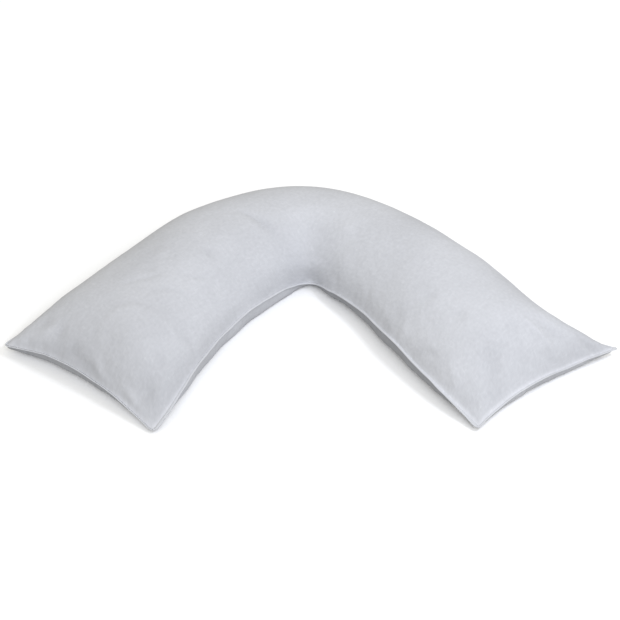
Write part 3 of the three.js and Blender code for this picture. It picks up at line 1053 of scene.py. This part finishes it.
def stitch_tree(thread_cotton):
    """The tree that lays stitches along a line, with its sizes as named inputs."""
    tree = bpy.data.node_groups.new("row_of_stitches", "GeometryNodeTree")
    tree.interface.new_socket("Geometry", in_out="INPUT", socket_type="NodeSocketGeometry")
    for title in ("Pitch", "Stitch length", "Thread thickness", "Skew"):
        tree.interface.new_socket(title, in_out="INPUT", socket_type="NodeSocketFloat")
    tree.interface.new_socket("Seed", in_out="INPUT", socket_type="NodeSocketInt")
    tree.interface.new_socket("Geometry", in_out="OUTPUT", socket_type="NodeSocketGeometry")
    given = node(tree, "NodeGroupInput")
    line = node(tree, "GeometryNodeMeshToCurve")
    spaced = node(tree, "GeometryNodeResampleCurve", mode="LENGTH")
    stitch = node(tree, "GeometryNodeMeshCylinder", Vertices=STITCH_SIDES)
    half = node(tree, "ShaderNodeMath", operation="MULTIPLY")
    half.inputs[1].default_value = 0.5
    along = node(tree, "GeometryNodeInputTangent")
    chance = node(tree, "FunctionNodeRandomValue", data_type="FLOAT_VECTOR")
    askew = node(tree, "ShaderNodeVectorMath", operation="SCALE")
    tilted = node(tree, "ShaderNodeVectorMath", operation="ADD")
    turned = node(tree, "FunctionNodeAlignRotationToVector", axis="Z")
    placed = node(tree, "GeometryNodeInstanceOnPoints")
    real = node(tree, "GeometryNodeRealizeInstances")
    painted = node(tree, "GeometryNodeSetMaterial", Material=thread_cotton)
    made = node(tree, "NodeGroupOutput")
    chance.inputs[0].default_value = (-1, -1, -1)
    links = (
        (given.outputs["Geometry"], line.inputs["Mesh"]),
        (line.outputs["Curve"], spaced.inputs["Curve"]),
        (given.outputs["Pitch"], spaced.inputs["Length"]),
        (given.outputs["Thread thickness"], half.inputs[0]),
        (half.outputs["Value"], stitch.inputs["Radius"]),
        (given.outputs["Stitch length"], stitch.inputs["Depth"]),
        (given.outputs["Seed"], chance.inputs["Seed"]),
        (chance.outputs[0], askew.inputs[0]),
        (given.outputs["Skew"], askew.inputs["Scale"]),
        (along.outputs["Tangent"], tilted.inputs[0]),
        (askew.outputs["Vector"], tilted.inputs[1]),
        (tilted.outputs["Vector"], turned.inputs["Vector"]),
        (spaced.outputs["Curve"], placed.inputs["Points"]),
        (stitch.outputs["Mesh"], placed.inputs["Instance"]),
        (turned.outputs["Rotation"], placed.inputs["Rotation"]),
        (placed.outputs["Instances"], real.inputs["Geometry"]),
        (real.outputs["Geometry"], painted.inputs["Geometry"]),
        (painted.outputs["Geometry"], made.inputs["Geometry"]),
    )
    for source, goal in links:
        tree.links.new(source, goal)
    return tree


def row_of_stitches():
    """The row along the left end as one plain mesh."""
    line_points = rings[1][LEFT_START + UNSTITCHED:-UNSTITCHED]
    line_mesh = bpy.data.meshes.new("stitch_line")
    joins = [(k, k + 1) for k in range(len(line_points) - 1)]
    line_mesh.from_pydata(line_points.tolist(), joins, [])
    line_object = bpy.data.objects.new("stitch_line", line_mesh)
    bpy.context.scene.collection.objects.link(line_object)
    tree = stitch_tree(pale_cotton)
    laid = line_object.modifiers.new("stitches", "NODES")
    laid.node_group = tree
    sizes_given = {
        "Pitch": STITCH_PITCH,
        "Stitch length": STITCH_LENGTH,
        "Thread thickness": THREAD_THICKNESS,
        "Skew": STITCH_SKEW,
        "Seed": STITCH_SEED,
    }
    for item in tree.interface.items_tree:
        if item.in_out == "INPUT" and item.name in sizes_given:
            laid[item.identifier] = sizes_given[item.name]
    laid_out = bpy.context.evaluated_depsgraph_get()
    laid_out.update()
    mesh = bpy.data.meshes.new_from_object(line_object.evaluated_get(laid_out))
    bpy.data.objects.remove(line_object)
    return mesh


stitch_mesh = row_of_stitches()
closing_stitches = bpy.data.objects.new("closing_stitches", stitch_mesh)
bpy.context.scene.collection.objects.link(closing_stitches)
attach(closing_stitches, "root")

# Plain white floor under the pillow, part of the picture and not of the pillow. It is seen whiter than the
# light it gives back, as the photo's floor was whitened afterwards and its pillow is dark underneath.
FLOOR_SEEN = (1.0, 1.0, 1.0)
FLOOR_GIVEN_BACK = (0.35, 0.35, 0.35)
FLOOR_HALF_SIDE = 6
FLOOR_GAP = 0.2 * MM
floor_mesh = bpy.data.meshes.new("floor")
floor_corners = []
for x, y in ((-1, -1), (1, -1), (1, 1), (-1, 1)):
    floor_corners.append((x * FLOOR_HALF_SIDE, y * FLOOR_HALF_SIDE, -FLOOR_GAP))
floor_mesh.from_pydata(floor_corners, [], [(0, 1, 2, 3)])
floor = bpy.data.objects.new("floor", floor_mesh)
bpy.context.scene.collection.objects.link(floor)
floor_paint = bpy.data.materials.new("white_floor")
floor_paint.use_nodes = True
floor_shader = floor_paint.node_tree.nodes["Principled BSDF"]
floor_shader.inputs["Roughness"].default_value = 1
floor_shader.inputs["Specular IOR Level"].default_value = 0
seen = node(floor_paint.node_tree, "ShaderNodeLightPath").outputs["Is Camera Ray"]
floor_colour = mixed(floor_paint.node_tree, seen, FLOOR_GIVEN_BACK, FLOOR_SEEN)
floor_paint.node_tree.links.new(floor_colour, floor_shader.inputs["Base Color"])
floor_mesh.materials.append(floor_paint)

# Studio light: a pale warm room all round, a broad cool lamp far off in front, and a round cool lamp near the
# pillow on the right, whose light is weaker at the left end.
ROOM_COLOUR = (1.0, 0.974, 0.889)
ROOM_STRENGTH = 0.69
FRONT_LAMP = {"round to the right": 8, "up": 47, "wide": 50, "energy": 1.45}
SIDE_LAMP = {"round to the right": 76, "up": 57, "away": 2.1, "across": 0.6, "power": 12.0}
LAMP_COLOUR = (0.855, 0.893, 1.0)
world = bpy.data.worlds.new("studio")
bpy.context.scene.world = world
world.use_nodes = True
world.node_tree.nodes["Background"].inputs["Color"].default_value = (*ROOM_COLOUR, 1)
world.node_tree.nodes["Background"].inputs["Strength"].default_value = ROOM_STRENGTH


def placed_lamp(light, at):
    """Puts a lamp's light in the scene, facing the pillow."""
    turn, tilt = math.radians(at["round to the right"]), math.radians(at["up"])
    way = Vector((math.sin(turn) * math.cos(tilt), -math.cos(turn) * math.cos(tilt), math.sin(tilt)))
    lamp = bpy.data.objects.new(light.name, light)
    lamp.rotation_mode = "QUATERNION"
    lamp.rotation_quaternion = way.to_track_quat("Z", "Y")
    lamp.location = way * at.get("away", 0)
    bpy.context.scene.collection.objects.link(lamp)


front_light = bpy.data.lights.new("front_lamp", "SUN")
front_light.energy = FRONT_LAMP["energy"]
front_light.angle = math.radians(FRONT_LAMP["wide"])
front_light.color = LAMP_COLOUR
placed_lamp(front_light, FRONT_LAMP)
side_light = bpy.data.lights.new("side_lamp", "AREA")
side_light.shape = "DISK"
side_light.size = SIDE_LAMP["across"]
side_light.energy = SIDE_LAMP["power"]
side_light.color = LAMP_COLOUR
placed_lamp(side_light, SIDE_LAMP)
bpy.context.scene.view_settings.view_transform = "Standard"

# Camera at the photo's angle, 45 degrees up and straight in front, 3 m away with a long lens.
CAMERA_UP = math.radians(45)
CAMERA_AWAY = 3.0
CAMERA_AIM = Vector((1.2 * MM, 24.2 * MM, 0))
camera_data = bpy.data.cameras.new("camera")
camera_data.lens = 90
camera = bpy.data.objects.new("camera", camera_data)
camera.location = CAMERA_AIM + CAMERA_AWAY * Vector((0, -math.cos(CAMERA_UP), math.sin(CAMERA_UP)))
camera.rotation_euler = (math.pi / 2 - CAMERA_UP, 0, 0)
bpy.context.scene.collection.objects.link(camera)
bpy.context.scene.camera = camera
